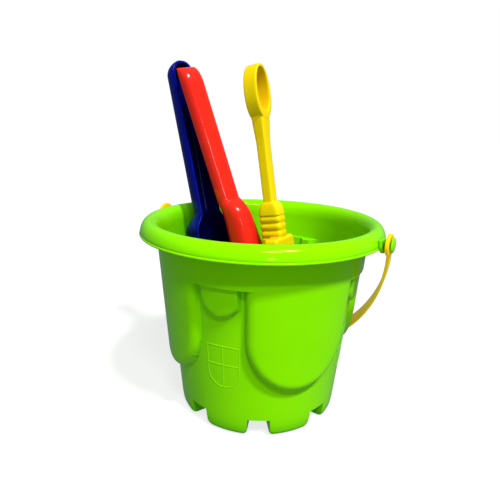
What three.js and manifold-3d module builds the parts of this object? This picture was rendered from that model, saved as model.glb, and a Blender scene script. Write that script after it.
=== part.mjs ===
// Toy sand bucket that moulds a castle tower, with its carrying handle, a scoop, a shovel and a rake.
// Millimetres, +Z up. The origin is at the bottom centre, between the feet.
// +X runs along the handle's pivots, and +Y is towards the side where the handle hangs.
import * as THREE from "three";
import { mergeVertices } from "three/addons/utils/BufferGeometryUtils.js";
import { LoftGeometry } from "three/addons/geometries/LoftGeometry.js";
import Module from "manifold-3d";

const wasm = await Module();
wasm.setup();

// ---- driving dimensions of the bucket ----
const WALL = 2; // thickness of the moulded wall
const SIDES = 40; // flats round the bucket
const LIP_RADIUS = 95; // outer edge of the rolled rim
const LIP_HEIGHT = 143.1; // height of that edge
const CREST_HEIGHT = 154; // top of the rim
const BAND_BOTTOM = 120; // lower edge of the proud band under the rim
const BAND_BASE_RADIUS = 70.75; // proud surface: radius at z = 0, and its growth with height
const BAND_TAPER = 0.0813;
const RECESS_BASE_RADIUS = 63.41; // recessed surface: radius at z = 0, and its growth with height
const RECESS_TAPER = 0.095;
const FLOOR_UNDERSIDE = 15;
const FOOT_COUNT = 8;
const FOOT_GAP = 16.6;
const FOOT_DEPTH = 20; // from the outer wall inwards
const FOOT_ROUNDING = 5;
const PATTERN_COUNT = 4; // tongues round the bucket, with a door between each pair
const TONGUE_ANGLE = 53.5; // degrees round from +X to the first tongue's centre
const TONGUE_HALF_WIDTH = 38.2;
const TONGUE_CENTRE_HEIGHT = 82.1; // centre of its rounded lower end
const ARCH_HALF_WIDTH = 13.8; // the small rounded awning over each door
const ARCH_CENTRE_HEIGHT = 111.6;
const ARCH_PROUD = 3.5;
const DOOR_HALF_WIDTH = 12.2; // outline of the arched door, drawn in thin ribs
const DOOR_TOP = 74.8;
const DOOR_CENTRE_HEIGHT = 52.7;
const DOOR_BAR_HEIGHT = 59.3;
const RIB_WIDTH = 1.4;
const RIB_PROUD = 1.1;
const FOOT_HOLLOW_BEVEL = 2; // slope at the bottom of a foot's hollow: across, then up
const FOOT_HOLLOW_RISE = 3;
const OVERLAP = 1; // how far shapes run past each other where they are joined or cut
const WALL_BLOCK = [50, 100]; // radii between which a block takes in the whole wall
const FOOT_BLOCK = [20, 90]; // radii between which a block takes in the whole foot

// ---- driving dimensions of the pivots and the handle ----
const PIVOT_HEIGHT = 146.6;
const EAR_INNER = 93.6; // the ear is a plate between these two distances from the middle
const EAR_OUTER = 96.6;
const EAR_HALF_WIDTH = 5.6;
const PEG_RADIUS = 3;
const PEG_HEAD_RADIUS = 5.6;
const PEG_HEAD_INNER = 102;
const PEG_HEAD_OUTER = 103.9;
const PEG_HEAD_SHOULDER = [0.6, 1]; // the domed head: in from its radius, out from its inner face
const PEG_HEAD_CROWN = 2.2; // in from its radius at the outer end
const PEG_SIDES = 16;
const EYE_SIDES = 32;
const EYE_HOLE_SIDES = 24;
const EYE_HALF_THICKNESS = 1.2;
const EYE_CENTRE = 100;
const EYE_OUTER_RADIUS = 7.8;
const EYE_HOLE_RADIUS = 3.4;
const HANDLE_REACH = 149; // from the pivot axis to the middle of the grip
const HANDLE_CURVE = 1.62; // exponent of the handle's rounded outline: 2 would be an ellipse
const HANDLE_HANG = 57; // degrees below level as it hangs at the back
const STRAP_THICKNESS = 2.4;
const STRAP_GRIP_WIDTH = 14;
const STRAP_END_WIDTH = 8;

// ---- driving dimensions of the three tools: each has its tip, its top and the way that its back faces ----
const TOOL_WALL = 2;
const NECK_POWER = 2.8; // how sharply a blade or bowl swells out below the grip
const NECK_FLARE = 30; // its sides start to spread this far below the neck
const SCOOP = {
  tip: new THREE.Vector3(-20.5, 3.2, 18.6),
  top: new THREE.Vector3(-82.6, 3.2, 272.8),
  facing: new THREE.Vector3(-0.985, 0.174, 0),
  neckBottom: 116,
  neckTop: 136,
  headHalf: 27,
  headRise: 25,
  headForward: 0,
  gripHalf: 11,
  gripRise: 15,
  topRise: 13.5,
  topSquareness: 0.15,
  tipRounding: 22,
};
const SHOVEL = {
  tip: new THREE.Vector3(6, 22.3, 18.4),
  top: new THREE.Vector3(-71, -6.2, 265.8),
  facing: new THREE.Vector3(0.983, -0.182, 0),
  neckBottom: 130,
  neckTop: 151,
  headHalf: 13.5,
  headRise: 16.5,
  headForward: 3,
  gripHalf: 9.5,
  gripRise: 10.3,
  topRise: 9.8,
  topSquareness: 0.92,
  tipRounding: 26,
};
const SECTION_POWER = 2 / 3; // 1 would make a half ellipse; less makes it squarer
const BLADE_STEPS = 7;
const NECK_STEPS = 6;
const GRIP_STEPS = 6;
const RAKE = {
  tip: new THREE.Vector3(24.7, 13, 20.4),
  top: new THREE.Vector3(-18.85, 12.8, 268.2),
  facing: new THREE.Vector3(1, 0, 0),
};
const RAKE_TINES = 5;
const RAKE_TINE_LENGTH = 52;
const RAKE_TINE_THICKNESS = 7;
const RAKE_TINE_ROOT = 0.9; // share of its pitch that a tine takes up where it meets the head
const RAKE_TINE_TIP = 0.5;
const RAKE_HEAD_WIDTH = 50;
const RAKE_SHOULDER_WIDTH = 31;
const RAKE_SHOULDER_CUT = 3;
const RAKE_HEAD_TOP = 117.4; // from the tips of the tines
const RAKE_HEAD_THICKNESS = 12;
const RAKE_HEAD_FORWARD = 4; // the head stands this far in front of the shaft's middle
const RAKE_NECK_RIDGES = 3;
const RAKE_RIDGE_PITCH = 6;
const RAKE_RIDGE_PROUD = 1.3;
const RAKE_NECK_WIDTH = 13.4;
const RAKE_NECK_DEPTH = 19;
const RAKE_NECK_TOP = 134.9;
const RAKE_FLARE_TOP = 145.9;
const RAKE_SHAFT_WIDTH = 9.4;
const RAKE_SHAFT_DEPTH = 9.2;
const RAKE_COLLAR = 24; // the shaft widens over this length to meet the ring
const RAKE_COLLAR_WIDTH = 12.4;
const RAKE_COLLAR_DEPTH = 11;
const RAKE_RING_HEIGHT = 41.3;
const RAKE_RING_WIDTH = 22.8;
const RAKE_RING_WALL = 2.7;
const RAKE_RING_FOOT = 6.5; // wall of the ring at its lower end
const RAKE_RING_DEPTH = 11.4;

const radians = THREE.MathUtils.degToRad;
const bandRadius = (z) => BAND_BASE_RADIUS + BAND_TAPER * z;
const recessRadius = (z) => RECESS_BASE_RADIUS + RECESS_TAPER * z;

// ---- materials ----
const plastic = (color) => new THREE.MeshStandardMaterial({ color, roughness: 0.28, metalness: 0 });
const green = plastic(0x7be000);
const yellow = plastic(0xf2d600);
const red = plastic(0xf01c14);
const blue = plastic(0x0a1296);

// ---- closed solids: cutting, joining and making them from a surface ----
function weld(geometry) {
  const plain = new THREE.BufferGeometry();
  plain.setAttribute("position", geometry.getAttribute("position"));
  plain.setIndex(geometry.getIndex());
  const merged = mergeVertices(plain, 1e-4);
  const corners = merged.index.array;
  const kept = [];
  for (let i = 0; i < corners.length; i += 3) {
    const [a, b, c] = corners.slice(i, i + 3);
    if (a !== b && b !== c && c !== a) kept.push(a, b, c);
  }
  merged.setIndex(kept);
  return merged;
}

function solid(geometry, matrix = new THREE.Matrix4()) {
  const welded = weld(geometry).applyMatrix4(matrix);
  const made = new wasm.Manifold(
    new wasm.Mesh({
      numProp: 3,
      vertProperties: new Float32Array(welded.attributes.position.array),
      triVerts: new Uint32Array(welded.index.array),
    }),
  );
  if (made.volume() > 0) return made;
  throw new Error("a solid has its faces turned inwards");
}

function joined(solids) {
  return solids.reduce((whole, piece) => whole.add(piece));
}

function geometryOf(made) {
  const mesh = made.getMesh();
  const geometry = new THREE.BufferGeometry();
  geometry.setAttribute("position", new THREE.Float32BufferAttribute(mesh.vertProperties, 3));
  geometry.setIndex([...mesh.triVerts]);
  geometry.computeVertexNormals();
  return geometry;
}

function meshOf(name, geometry, material) {
  const mesh = new THREE.Mesh(geometry, material);
  mesh.name = name;
  return mesh;
}

// A body of revolution about +Z from [radius, height] points that close on themselves or end on the axis.
function turned(points, sides = SIDES) {
  return solid(
    new THREE.LatheGeometry(points.map(([r, z]) => new THREE.Vector2(r, z)), sides),
    new THREE.Matrix4().makeRotationX(Math.PI / 2),
  );
}

// A flat outline in width (across) and height (up), pushed out along the radius at an angle round the bucket.
function radialBlock(shape, angle, inner, outer) {
  const depth = outer - inner;
  const geometry = new THREE.ExtrudeGeometry(shape, { depth, bevelEnabled: false, curveSegments: 9 });
  const turn = new THREE.Matrix4().makeRotationZ(radians(angle));
  const across = new THREE.Vector3(0, 1, 0);
  const up = new THREE.Vector3(0, 0, 1);
  const out = new THREE.Vector3(1, 0, 0);
  const lay = new THREE.Matrix4().makeBasis(across, up, out).setPosition(inner, 0, 0);
  return solid(geometry, turn.multiply(lay));
}

const angles = (count, first) => Array.from({ length: count }, (_, i) => first + (360 / count) * i);
const tongueAngles = angles(PATTERN_COUNT, TONGUE_ANGLE);
const doorAngles = angles(PATTERN_COUNT, TONGUE_ANGLE + 180 / PATTERN_COUNT);
const footAngles = angles(FOOT_COUNT, TONGUE_ANGLE + 180 / PATTERN_COUNT);
const gapAngles = angles(FOOT_COUNT, TONGUE_ANGLE + 180 / PATTERN_COUNT + 180 / FOOT_COUNT);

// ---- bucket ----
// A strip with straight sides from a top edge down to a half-round lower end.
function roundedStrip(halfWidth, centre, top) {
  const shape = new THREE.Shape();
  shape.moveTo(-halfWidth, top);
  shape.lineTo(-halfWidth, centre);
  shape.absarc(0, centre, halfWidth, Math.PI, 2 * Math.PI, false);
  shape.lineTo(halfWidth, top);
  shape.closePath();
  return shape;
}

function rectangle(halfWidth, bottom, top) {
  const shape = new THREE.Shape();
  shape.moveTo(-halfWidth, bottom);
  shape.lineTo(halfWidth, bottom);
  shape.lineTo(halfWidth, top);
  shape.lineTo(-halfWidth, top);
  return shape;
}

// The thin ribs that draw an arched door: its outline, with one upright and one crossbar.
function doorRibs(angle) {
  const half = RIB_WIDTH / 2;
  const bottom = DOOR_CENTRE_HEIGHT - DOOR_HALF_WIDTH;
  const block = (shape) => radialBlock(shape, angle, ...WALL_BLOCK);
  const outline = block(roundedStrip(DOOR_HALF_WIDTH, DOOR_CENTRE_HEIGHT, DOOR_TOP));
  const inner = DOOR_HALF_WIDTH - RIB_WIDTH;
  const opening = block(roundedStrip(inner, DOOR_CENTRE_HEIGHT, DOOR_TOP - RIB_WIDTH));
  const upright = block(rectangle(half, bottom + half, DOOR_TOP - half));
  const crossbar = block(rectangle(inner + half, DOOR_BAR_HEIGHT - half, DOOR_BAR_HEIGHT + half));
  return outline.subtract(opening).add(upright).add(crossbar);
}

// The proud surface of a pattern: a conical body cut to the pattern's outline at each angle.
function pattern(surface, shape, places) {
  const blocks = places.map((angle) => radialBlock(shape, angle, ...WALL_BLOCK));
  return surface.intersect(joined(blocks));
}

function conicalBody(radiusAt, bottom, top) {
  return turned([[0, bottom], [radiusAt(bottom), bottom], [radiusAt(top), top], [0, top]]);
}

// The body under the proud and the recessed surfaces. An inset of one wall gives the space inside it.
function bodyShape(inset, floor) {
  const proud = (z) => bandRadius(z) - inset;
  const recessed = (z) => recessRadius(z) - inset;
  const arch = (z) => recessRadius(z) + ARCH_PROUD - inset;
  const band = BAND_BOTTOM + inset;
  const top = LIP_HEIGHT;
  const tongue = roundedStrip(TONGUE_HALF_WIDTH - inset, TONGUE_CENTRE_HEIGHT, band + OVERLAP);
  const awning = roundedStrip(ARCH_HALF_WIDTH - inset, ARCH_CENTRE_HEIGHT, band + OVERLAP);
  return joined([
    conicalBody(recessed, floor, band + OVERLAP),
    conicalBody(proud, band, top),
    pattern(conicalBody(proud, FLOOR_UNDERSIDE, band + OVERLAP), tongue, tongueAngles),
    pattern(conicalBody(arch, FLOOR_UNDERSIDE, band + OVERLAP), awning, doorAngles),
  ]);
}

// The rolled rim: a half-round lip, open underneath.
function rim() {
  const inside = bandRadius(LIP_HEIGHT) - WALL;
  const reach = (LIP_RADIUS - inside) / 2;
  const rise = CREST_HEIGHT - LIP_HEIGHT;
  const points = [];
  const steps = 6;
  for (let i = 0; i <= steps; i++) {
    const turn = Math.PI * (1 - i / steps);
    points.push([inside + reach * (1 + Math.cos(turn)), LIP_HEIGHT + rise * Math.sin(turn)]);
  }
  for (let i = steps; i >= 0; i--) {
    const turn = Math.PI * (1 - i / steps);
    const across = (reach - WALL) * (1 + Math.cos(turn)) + WALL;
    points.push([inside + across, LIP_HEIGHT + (rise - WALL) * Math.sin(turn)]);
  }
  points.push(points[0]);
  return turned(points.reverse());
}

// The rounded lower corner of the outside, all the way round.
function footOutline() {
  const outer = recessRadius(FOOT_ROUNDING);
  const points = [[0, 0]];
  const steps = 4;
  for (let i = 0; i <= steps; i++) {
    const turn = (Math.PI / 2) * (i / steps);
    points.push([
      outer - FOOT_ROUNDING * (1 - Math.sin(turn)),
      FOOT_ROUNDING * (1 - Math.cos(turn)),
    ]);
  }
  const top = FLOOR_UNDERSIDE + 2 * WALL;
  points.push([recessRadius(top), top], [0, top]);
  return turned(points);
}

// Eight hollow feet: each is a block between two gaps, open to the inside of the bucket.
function feet() {
  const inside = recessRadius(0) - FOOT_DEPTH;
  const core = turned([[0, -OVERLAP], [inside, -OVERLAP], [inside, FLOOR_UNDERSIDE], [0, FLOOR_UNDERSIDE]]);
  const gap = rectangle(FOOT_GAP / 2, -OVERLAP, FLOOR_UNDERSIDE);
  const gaps = gapAngles.map((angle) => radialBlock(gap, angle, ...FOOT_BLOCK));
  return footOutline().subtract(joined([core, ...gaps]));
}

// The hollows of the feet, seen from inside the bucket: a ring cut through by the webs between the feet.
function footHollows() {
  const inner = recessRadius(0) - FOOT_DEPTH + WALL;
  const outer = recessRadius(0) - WALL - 1;
  const top = FLOOR_UNDERSIDE + WALL + OVERLAP;
  const ring = turned([
    [inner, WALL],
    [outer - FOOT_HOLLOW_BEVEL, WALL],
    [outer, WALL + FOOT_HOLLOW_RISE],
    [outer + 1, top],
    [inner, top],
    [inner, WALL],
  ]);
  const web = rectangle(FOOT_GAP / 2 + WALL, 0, top + OVERLAP);
  return ring.subtract(joined(gapAngles.map((angle) => radialBlock(web, angle, ...FOOT_BLOCK))));
}

// A plate under the rim with a rounded lower end, and the peg that holds the handle's eye.
function ear(side) {
  const plate = roundedStrip(EAR_HALF_WIDTH, PIVOT_HEIGHT, LIP_HEIGHT + 3 * WALL);
  const angle = side > 0 ? 0 : 180;
  const [shoulderIn, shoulderOut] = PEG_HEAD_SHOULDER;
  const toPivot = new THREE.Matrix4()
    .makeRotationZ(radians(angle))
    .setPosition(0, 0, PIVOT_HEIGHT)
    .multiply(new THREE.Matrix4().makeRotationY(Math.PI / 2))
    .multiply(new THREE.Matrix4().makeRotationX(Math.PI / 2));
  const peg = new THREE.LatheGeometry(
    [
      [0, EAR_INNER],
      [PEG_RADIUS, EAR_INNER],
      [PEG_RADIUS, PEG_HEAD_INNER],
      [PEG_HEAD_RADIUS, PEG_HEAD_INNER],
      [PEG_HEAD_RADIUS - shoulderIn, PEG_HEAD_INNER + shoulderOut],
      [PEG_HEAD_RADIUS - PEG_HEAD_CROWN, PEG_HEAD_OUTER],
      [0, PEG_HEAD_OUTER],
    ].map(([r, x]) => new THREE.Vector2(r, x)),
    PEG_SIDES,
  );
  return radialBlock(plate, angle, EAR_INNER, EAR_OUTER).add(solid(peg, toPivot));
}

function bucket() {
  const inside = bodyShape(WALL, FLOOR_UNDERSIDE + WALL);
  const shell = bodyShape(0, FLOOR_UNDERSIDE);
  const floorPlug = conicalBody((z) => recessRadius(z) - WALL, FLOOR_UNDERSIDE, FLOOR_UNDERSIDE + WALL);
  const ribBody = conicalBody((z) => recessRadius(z) + RIB_PROUD, FLOOR_UNDERSIDE + 2 * WALL, BAND_BOTTOM);
  const ribs = ribBody.intersect(joined(doorAngles.map(doorRibs)));
  const outside = joined([shell, ribs, feet(), floorPlug]);
  const mouth = conicalBody((z) => bandRadius(z) - WALL, LIP_HEIGHT - OVERLAP, LIP_HEIGHT + OVERLAP);
  const ears = joined([ear(1), ear(-1)]);
  return outside
    .subtract(joined([inside, mouth, footHollows()]))
    .add(rim())
    .add(ears);
}

// ---- handle ----
// The strap's middle line in its own plane: x towards a pivot, reach away from the pivot axis.
function strapMiddle(turn) {
  const power = 2 / HANDLE_CURVE;
  const cosine = Math.cos(turn);
  return new THREE.Vector2(
    Math.sign(cosine) * EYE_CENTRE * Math.abs(cosine) ** power,
    HANDLE_REACH * Math.sin(turn) ** power,
  );
}

function strapSection(turn) {
  const step = 0.01;
  const here = strapMiddle(turn);
  const ahead = strapMiddle(Math.min(turn + step, Math.PI));
  const behind = strapMiddle(Math.max(turn - step, 0));
  const along = ahead.sub(behind).normalize();
  const outwards = new THREE.Vector2(along.y, -along.x).multiplyScalar(STRAP_THICKNESS / 2);
  const widening = THREE.MathUtils.smoothstep(here.y, 0, HANDLE_REACH / 3);
  const half = THREE.MathUtils.lerp(STRAP_END_WIDTH, STRAP_GRIP_WIDTH, widening) / 2;
  return [[1, half], [1, -half], [-1, -half], [-1, half]].map(
    ([side, across]) => new THREE.Vector3(here.x + side * outwards.x, here.y + side * outwards.y, across),
  );
}

function handleEye(side) {
  const turnToX = new THREE.Matrix4().makeRotationZ(Math.PI / 2).setPosition(side * EYE_CENTRE, 0, 0);
  const thickness = 2 * EYE_HALF_THICKNESS;
  const disc = new THREE.CylinderGeometry(EYE_OUTER_RADIUS, EYE_OUTER_RADIUS, thickness, EYE_SIDES);
  return solid(disc, turnToX);
}

function handleEyeHole(side) {
  const turnToX = new THREE.Matrix4().makeRotationZ(Math.PI / 2).setPosition(side * EYE_CENTRE, 0, 0);
  const long = 10 * EYE_HALF_THICKNESS; // well past both faces of the eye
  return solid(new THREE.CylinderGeometry(EYE_HOLE_RADIUS, EYE_HOLE_RADIUS, long, EYE_HOLE_SIDES), turnToX);
}

function handle() {
  const steps = 44;
  const sections = Array.from({ length: steps + 1 }, (_, i) => strapSection((Math.PI * i) / steps));
  const strap = solid(new LoftGeometry(sections, { capStart: true, capEnd: true }));
  const holes = handleEyeHole(1).add(handleEyeHole(-1));
  return strap.add(handleEye(1)).add(handleEye(-1)).subtract(holes);
}

// ---- tools ----
// Evenly spaced heights from low up to, but not at, high.
function between(low, high, count) {
  return Array.from({ length: count }, (_, i) => low + ((high - low) * i) / count);
}

// Stations from a rounded tip at 0 to the top, closer together where the ends curve and along the neck.
// Each has the share of the full width and of the full bulge that is there.
function channelStations(tool, length) {
  const ends = 6;
  const tip = Array.from({ length: ends }, (_, i) => {
    const turn = (Math.PI / 2) * (i / ends);
    return { z: tool.tipRounding * (1 - Math.cos(turn)), width: Math.sin(turn), bulge: Math.sin(turn) };
  });
  const topStart = length - tool.gripHalf;
  const heights = [
    ...between(tool.tipRounding, tool.neckBottom, BLADE_STEPS),
    ...between(tool.neckBottom, tool.neckTop, NECK_STEPS),
    ...between(tool.neckTop, topStart, GRIP_STEPS),
    topStart,
  ];
  const top = Array.from({ length: ends }, (_, i) => {
    const turn = (Math.PI / 2) * ((i + 1) / ends);
    const bulge = i + 1 === ends ? 0 : Math.cos(turn);
    const width = THREE.MathUtils.lerp(bulge, 1, tool.topSquareness);
    return { z: topStart + tool.gripHalf * Math.sin(turn), width, bulge };
  });
  return [...tip, ...heights.map((z) => ({ z, width: 1, bulge: 1 })), ...top];
}

// A half-round channel that widens into a blade or bowl: the handle and head of the scoop and the shovel.
function channelTool(tool) {
  const length = tool.top.distanceTo(tool.tip);
  const steps = 12;
  const sections = channelStations(tool, length).map(({ z, width, bulge }) => {
    const upNeck = THREE.MathUtils.clamp((z - tool.neckBottom) / (tool.neckTop - tool.neckBottom), 0, 1);
    const grip = upNeck ** NECK_POWER; // 0 at the blade, 1 at the grip
    const narrowing = THREE.MathUtils.smoothstep(z, tool.neckBottom - NECK_FLARE, tool.neckTop);
    const upGrip = THREE.MathUtils.clamp((z - tool.neckTop) / (length - tool.neckTop), 0, 1);
    const gripRise = THREE.MathUtils.lerp(tool.gripRise, tool.topRise, upGrip);
    const half = THREE.MathUtils.lerp(tool.headHalf, tool.gripHalf, narrowing);
    const rise = THREE.MathUtils.lerp(tool.headRise, gripRise, grip);
    const forward = tool.headForward * (1 - grip);
    const arc = (inset, height) => (_, i) => {
      const turn = (Math.PI * i) / steps;
      const cosine = i * 2 === steps ? 0 : Math.cos(turn);
      return new THREE.Vector3(
        (half - inset) * width * Math.sign(cosine) * Math.abs(cosine) ** SECTION_POWER,
        (rise - inset) * bulge * Math.max(Math.sin(turn), 0) ** SECTION_POWER + forward,
        height,
      );
    };
    const inner = TOOL_WALL + (z * (length - 2 * TOOL_WALL)) / length;
    const outside = Array.from({ length: steps + 1 }, arc(0, z));
    const inside = Array.from({ length: steps + 1 }, arc(TOOL_WALL, inner)).reverse();
    return [...outside, ...inside];
  });
  return solid(new LoftGeometry(sections, { capEnd: true }));
}

function flatPlate(shape, thickness) {
  const options = { depth: thickness, bevelEnabled: false, curveSegments: 10 };
  const geometry = new THREE.ExtrudeGeometry(shape, options);
  const width = new THREE.Vector3(1, 0, 0);
  const up = new THREE.Vector3(0, 0, 1);
  const back = new THREE.Vector3(0, -1, 0);
  return solid(geometry, new THREE.Matrix4().makeBasis(width, up, back).setPosition(0, thickness / 2, 0));
}

function ellipseShape(halfWidth, halfHeight, centre) {
  const shape = new THREE.Shape();
  shape.absellipse(0, centre, halfWidth, halfHeight, 0, 2 * Math.PI, false);
  return shape;
}

function rakeRing(length) {
  const half = RAKE_RING_WIDTH / 2;
  const tall = RAKE_RING_HEIGHT / 2;
  const holeTall = (RAKE_RING_HEIGHT - RAKE_RING_WALL - RAKE_RING_FOOT) / 2;
  const ring = ellipseShape(half, tall, length - tall);
  ring.holes.push(ellipseShape(half - RAKE_RING_WALL, holeTall, length - RAKE_RING_WALL - holeTall));
  return flatPlate(ring, RAKE_RING_DEPTH);
}

// The head: a plate that widens downwards, ending in a row of tines.
function rakeHead() {
  const half = RAKE_HEAD_WIDTH / 2;
  const shoulder = RAKE_SHOULDER_WIDTH / 2;
  const plate = new THREE.Shape();
  plate.moveTo(-half, RAKE_TINE_LENGTH);
  plate.lineTo(half, RAKE_TINE_LENGTH);
  plate.lineTo(shoulder, RAKE_HEAD_TOP - RAKE_SHOULDER_CUT);
  plate.lineTo(shoulder - RAKE_SHOULDER_CUT, RAKE_HEAD_TOP);
  plate.lineTo(RAKE_SHOULDER_CUT - shoulder, RAKE_HEAD_TOP);
  plate.lineTo(-shoulder, RAKE_HEAD_TOP - RAKE_SHOULDER_CUT);
  plate.closePath();
  const pitch = RAKE_HEAD_WIDTH / RAKE_TINES;
  const tip = (pitch * RAKE_TINE_TIP) / 2;
  const root = (pitch * RAKE_TINE_ROOT) / 2;
  const overlap = 1;
  const tines = Array.from({ length: RAKE_TINES }, (_, i) => {
    const centre = pitch * (i + 0.5) - half;
    const tine = new THREE.Shape();
    tine.moveTo(centre - tip, 0);
    tine.lineTo(centre + tip, 0);
    tine.lineTo(centre + root, RAKE_TINE_LENGTH + overlap);
    tine.lineTo(centre - root, RAKE_TINE_LENGTH + overlap);
    return flatPlate(tine, RAKE_TINE_THICKNESS);
  });
  return joined([flatPlate(plate, RAKE_HEAD_THICKNESS), ...tines]).translate([0, RAKE_HEAD_FORWARD, 0]);
}

// Half the width at a height on the rake's shaft: ridged neck, flare, straight shaft, then a wider collar.
function shaftHalfWidth(z, top, { neck, shaft, collar, ridge }) {
  const flare = THREE.MathUtils.clamp((z - RAKE_NECK_TOP) / (RAKE_FLARE_TOP - RAKE_NECK_TOP), 0, 1);
  const size = THREE.MathUtils.lerp(shaft, neck, Math.sqrt(1 - flare ** 2));
  const widened = size + (collar - shaft) * THREE.MathUtils.smoothstep(z, top - RAKE_COLLAR, top);
  const ridgeBottom = RAKE_NECK_TOP - RAKE_NECK_RIDGES * RAKE_RIDGE_PITCH;
  if (z < ridgeBottom || z > RAKE_NECK_TOP) return widened / 2;
  const phase = (z - ridgeBottom) / RAKE_RIDGE_PITCH;
  return widened / 2 - ridge * (1 - Math.abs(Math.sin(Math.PI * phase)));
}

function shaftOutline(bottom, top, sizes) {
  const step = 1;
  const count = Math.round((top - bottom) / step);
  const heights = Array.from({ length: count + 1 }, (_, i) => bottom + ((top - bottom) * i) / count);
  const straightBottom = RAKE_FLARE_TOP + step;
  const straightTop = top - RAKE_COLLAR;
  const curved = heights.filter((z) => z < straightBottom || z > straightTop);
  const right = curved.map((z) => new THREE.Vector2(shaftHalfWidth(z, top, sizes), z));
  const left = curved.map((z) => new THREE.Vector2(-shaftHalfWidth(z, top, sizes), z)).reverse();
  return new THREE.Shape([...right, ...left]);
}

// The shaft and neck are where a front outline and a side outline cross.
function rakeShaft(length) {
  const overlap = 3;
  const bottom = RAKE_HEAD_TOP - overlap;
  const top = length - RAKE_RING_HEIGHT + overlap;
  const frontSizes = {
    neck: RAKE_NECK_WIDTH,
    shaft: RAKE_SHAFT_WIDTH,
    collar: RAKE_COLLAR_WIDTH,
    ridge: RAKE_RIDGE_PROUD,
  };
  const sideSizes = { neck: RAKE_NECK_DEPTH, shaft: RAKE_SHAFT_DEPTH, collar: RAKE_COLLAR_DEPTH, ridge: 0 };
  const front = shaftOutline(bottom, top, frontSizes);
  const side = shaftOutline(bottom, top, sideSizes);
  const crossing = flatPlate(side, RAKE_NECK_WIDTH + overlap).rotate([0, 0, 90]);
  return flatPlate(front, RAKE_NECK_DEPTH + overlap).intersect(crossing);
}

function rake() {
  const length = RAKE.top.distanceTo(RAKE.tip);
  return joined([rakeRing(length), rakeShaft(length), rakeHead()]);
}

// Stands a tool in the bucket: its tip at one point, its length towards another, and its back turned one way.
function place(mesh, { tip, top, facing }) {
  const up = top.clone().sub(tip).normalize();
  const across = new THREE.Vector3().crossVectors(facing, up).normalize();
  const back = new THREE.Vector3().crossVectors(up, across);
  mesh.quaternion.setFromRotationMatrix(new THREE.Matrix4().makeBasis(across, back, up));
  mesh.position.copy(tip);
  return mesh;
}

// ---- the set ----
const set = new THREE.Group();
set.add(meshOf("bucket_shell", geometryOf(bucket()), green));

const hanging = new THREE.Group();
hanging.position.set(0, 0, PIVOT_HEIGHT);
hanging.rotation.x = radians(-HANDLE_HANG);
hanging.add(meshOf("carrying_handle", geometryOf(handle()), yellow));
set.add(hanging);

set.add(place(meshOf("scoop", geometryOf(channelTool(SCOOP)), blue), SCOOP));
set.add(place(meshOf("shovel", geometryOf(channelTool(SHOVEL)), red), SHOVEL));
set.add(place(meshOf("rake", geometryOf(rake()), yellow), RAKE));

export default set;
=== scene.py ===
"""The looks of a sand bucket with three beach tools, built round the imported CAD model.

Lengths are in millimetres until a mesh is made, in the CAD model's frame.
"""

import math

import bmesh
import bpy
import numpy as np
from mathutils import Matrix, Vector


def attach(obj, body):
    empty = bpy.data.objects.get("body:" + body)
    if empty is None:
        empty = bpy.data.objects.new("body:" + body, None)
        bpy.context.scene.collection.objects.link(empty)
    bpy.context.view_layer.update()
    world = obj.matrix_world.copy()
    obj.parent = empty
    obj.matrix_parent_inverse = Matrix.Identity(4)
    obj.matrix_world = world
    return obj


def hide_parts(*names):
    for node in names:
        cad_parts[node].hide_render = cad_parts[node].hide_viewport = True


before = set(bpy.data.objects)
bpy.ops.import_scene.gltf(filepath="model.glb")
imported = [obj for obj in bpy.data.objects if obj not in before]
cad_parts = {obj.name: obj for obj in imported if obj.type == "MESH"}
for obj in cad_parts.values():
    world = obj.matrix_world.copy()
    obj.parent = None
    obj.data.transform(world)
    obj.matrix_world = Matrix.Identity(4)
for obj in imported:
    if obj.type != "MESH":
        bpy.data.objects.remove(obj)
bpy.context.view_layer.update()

MM = 0.001

# ---- bucket: sizes ----
WALL = 2.0
BAND_BASE_RADIUS, BAND_TAPER = 70.75, 0.0813
RECESS_BASE_RADIUS, RECESS_TAPER = 63.41, 0.095
BAND_BOTTOM = 120.0
LEDGE_ROUNDING = 0.45
LEDGE_INSET = 0.9  # how far the ledge's inside is above its outside, for each mm of wall
LEDGE_BLEND, AWNING_BLEND = 0.12, 0.35
TONGUE_ANGLE = 53.5
TONGUE_HALF_WIDTH = 41.2
TONGUE_CENTRE_HEIGHT = 82.1
TONGUE_SIDE_RUN = 7.2
TONGUE_RADIUS = 75.5
DOOR_ANGLE = TONGUE_ANGLE - 45
DOOR_HALF_WIDTH = 12.0
DOOR_TOP = 74.4
DOOR_CENTRE_HEIGHT = 52.7
DOOR_BAR_HEIGHT = 59.3
DOOR_TOP_SAG = 0.03
DOOR_RADIUS = 69.0
RIB_RADIUS = 0.75
RIB_SINK = 0.3
AWNING_HALF_WIDTH = 14.6
AWNING_CENTRE_HEIGHT = 111.8
AWNING_PROUD = 3.6
AWNING_SIDE_RUN = 3.0
AWNING_RADIUS = 74.5
LIP_HEIGHT = 143.1
LIP_INNER_RADIUS = 80.4
LIP_OUTER_RADIUS = 94.6
LIP_RADIUS = 95.0
CREST_HEIGHT = 153.95
BEAD_RADIUS = 0.95
FLARE_START = 139.0
OUTSIDE_TOP = 145.0  # where the wall meets the underside of the rim
FLOOR_UNDERSIDE = 15.0
FLOOR_TOP = 17.0
FOOT_COUNT = 8
FOOT_ANGLE = DOOR_ANGLE
FOOT_GAP = 16.8
FOOT_DEPTH = 20.0
FOOT_EDGE_ROUNDING = 5.0
FOOT_SIDE_ROUNDING = 3.5
FOOT_RADIUS = 62.5
FOOT_DRAFT = 0.5
FOOT_FILLET = 1.2
POCKET_BOTTOM = 2.0
COLUMN_SPACING = 1.25  # degrees
FLOOR_RINGS = (36, 24, 12, 3)
INNER_ROW, OUTER_ROW = 4.0, 1.7

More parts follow.
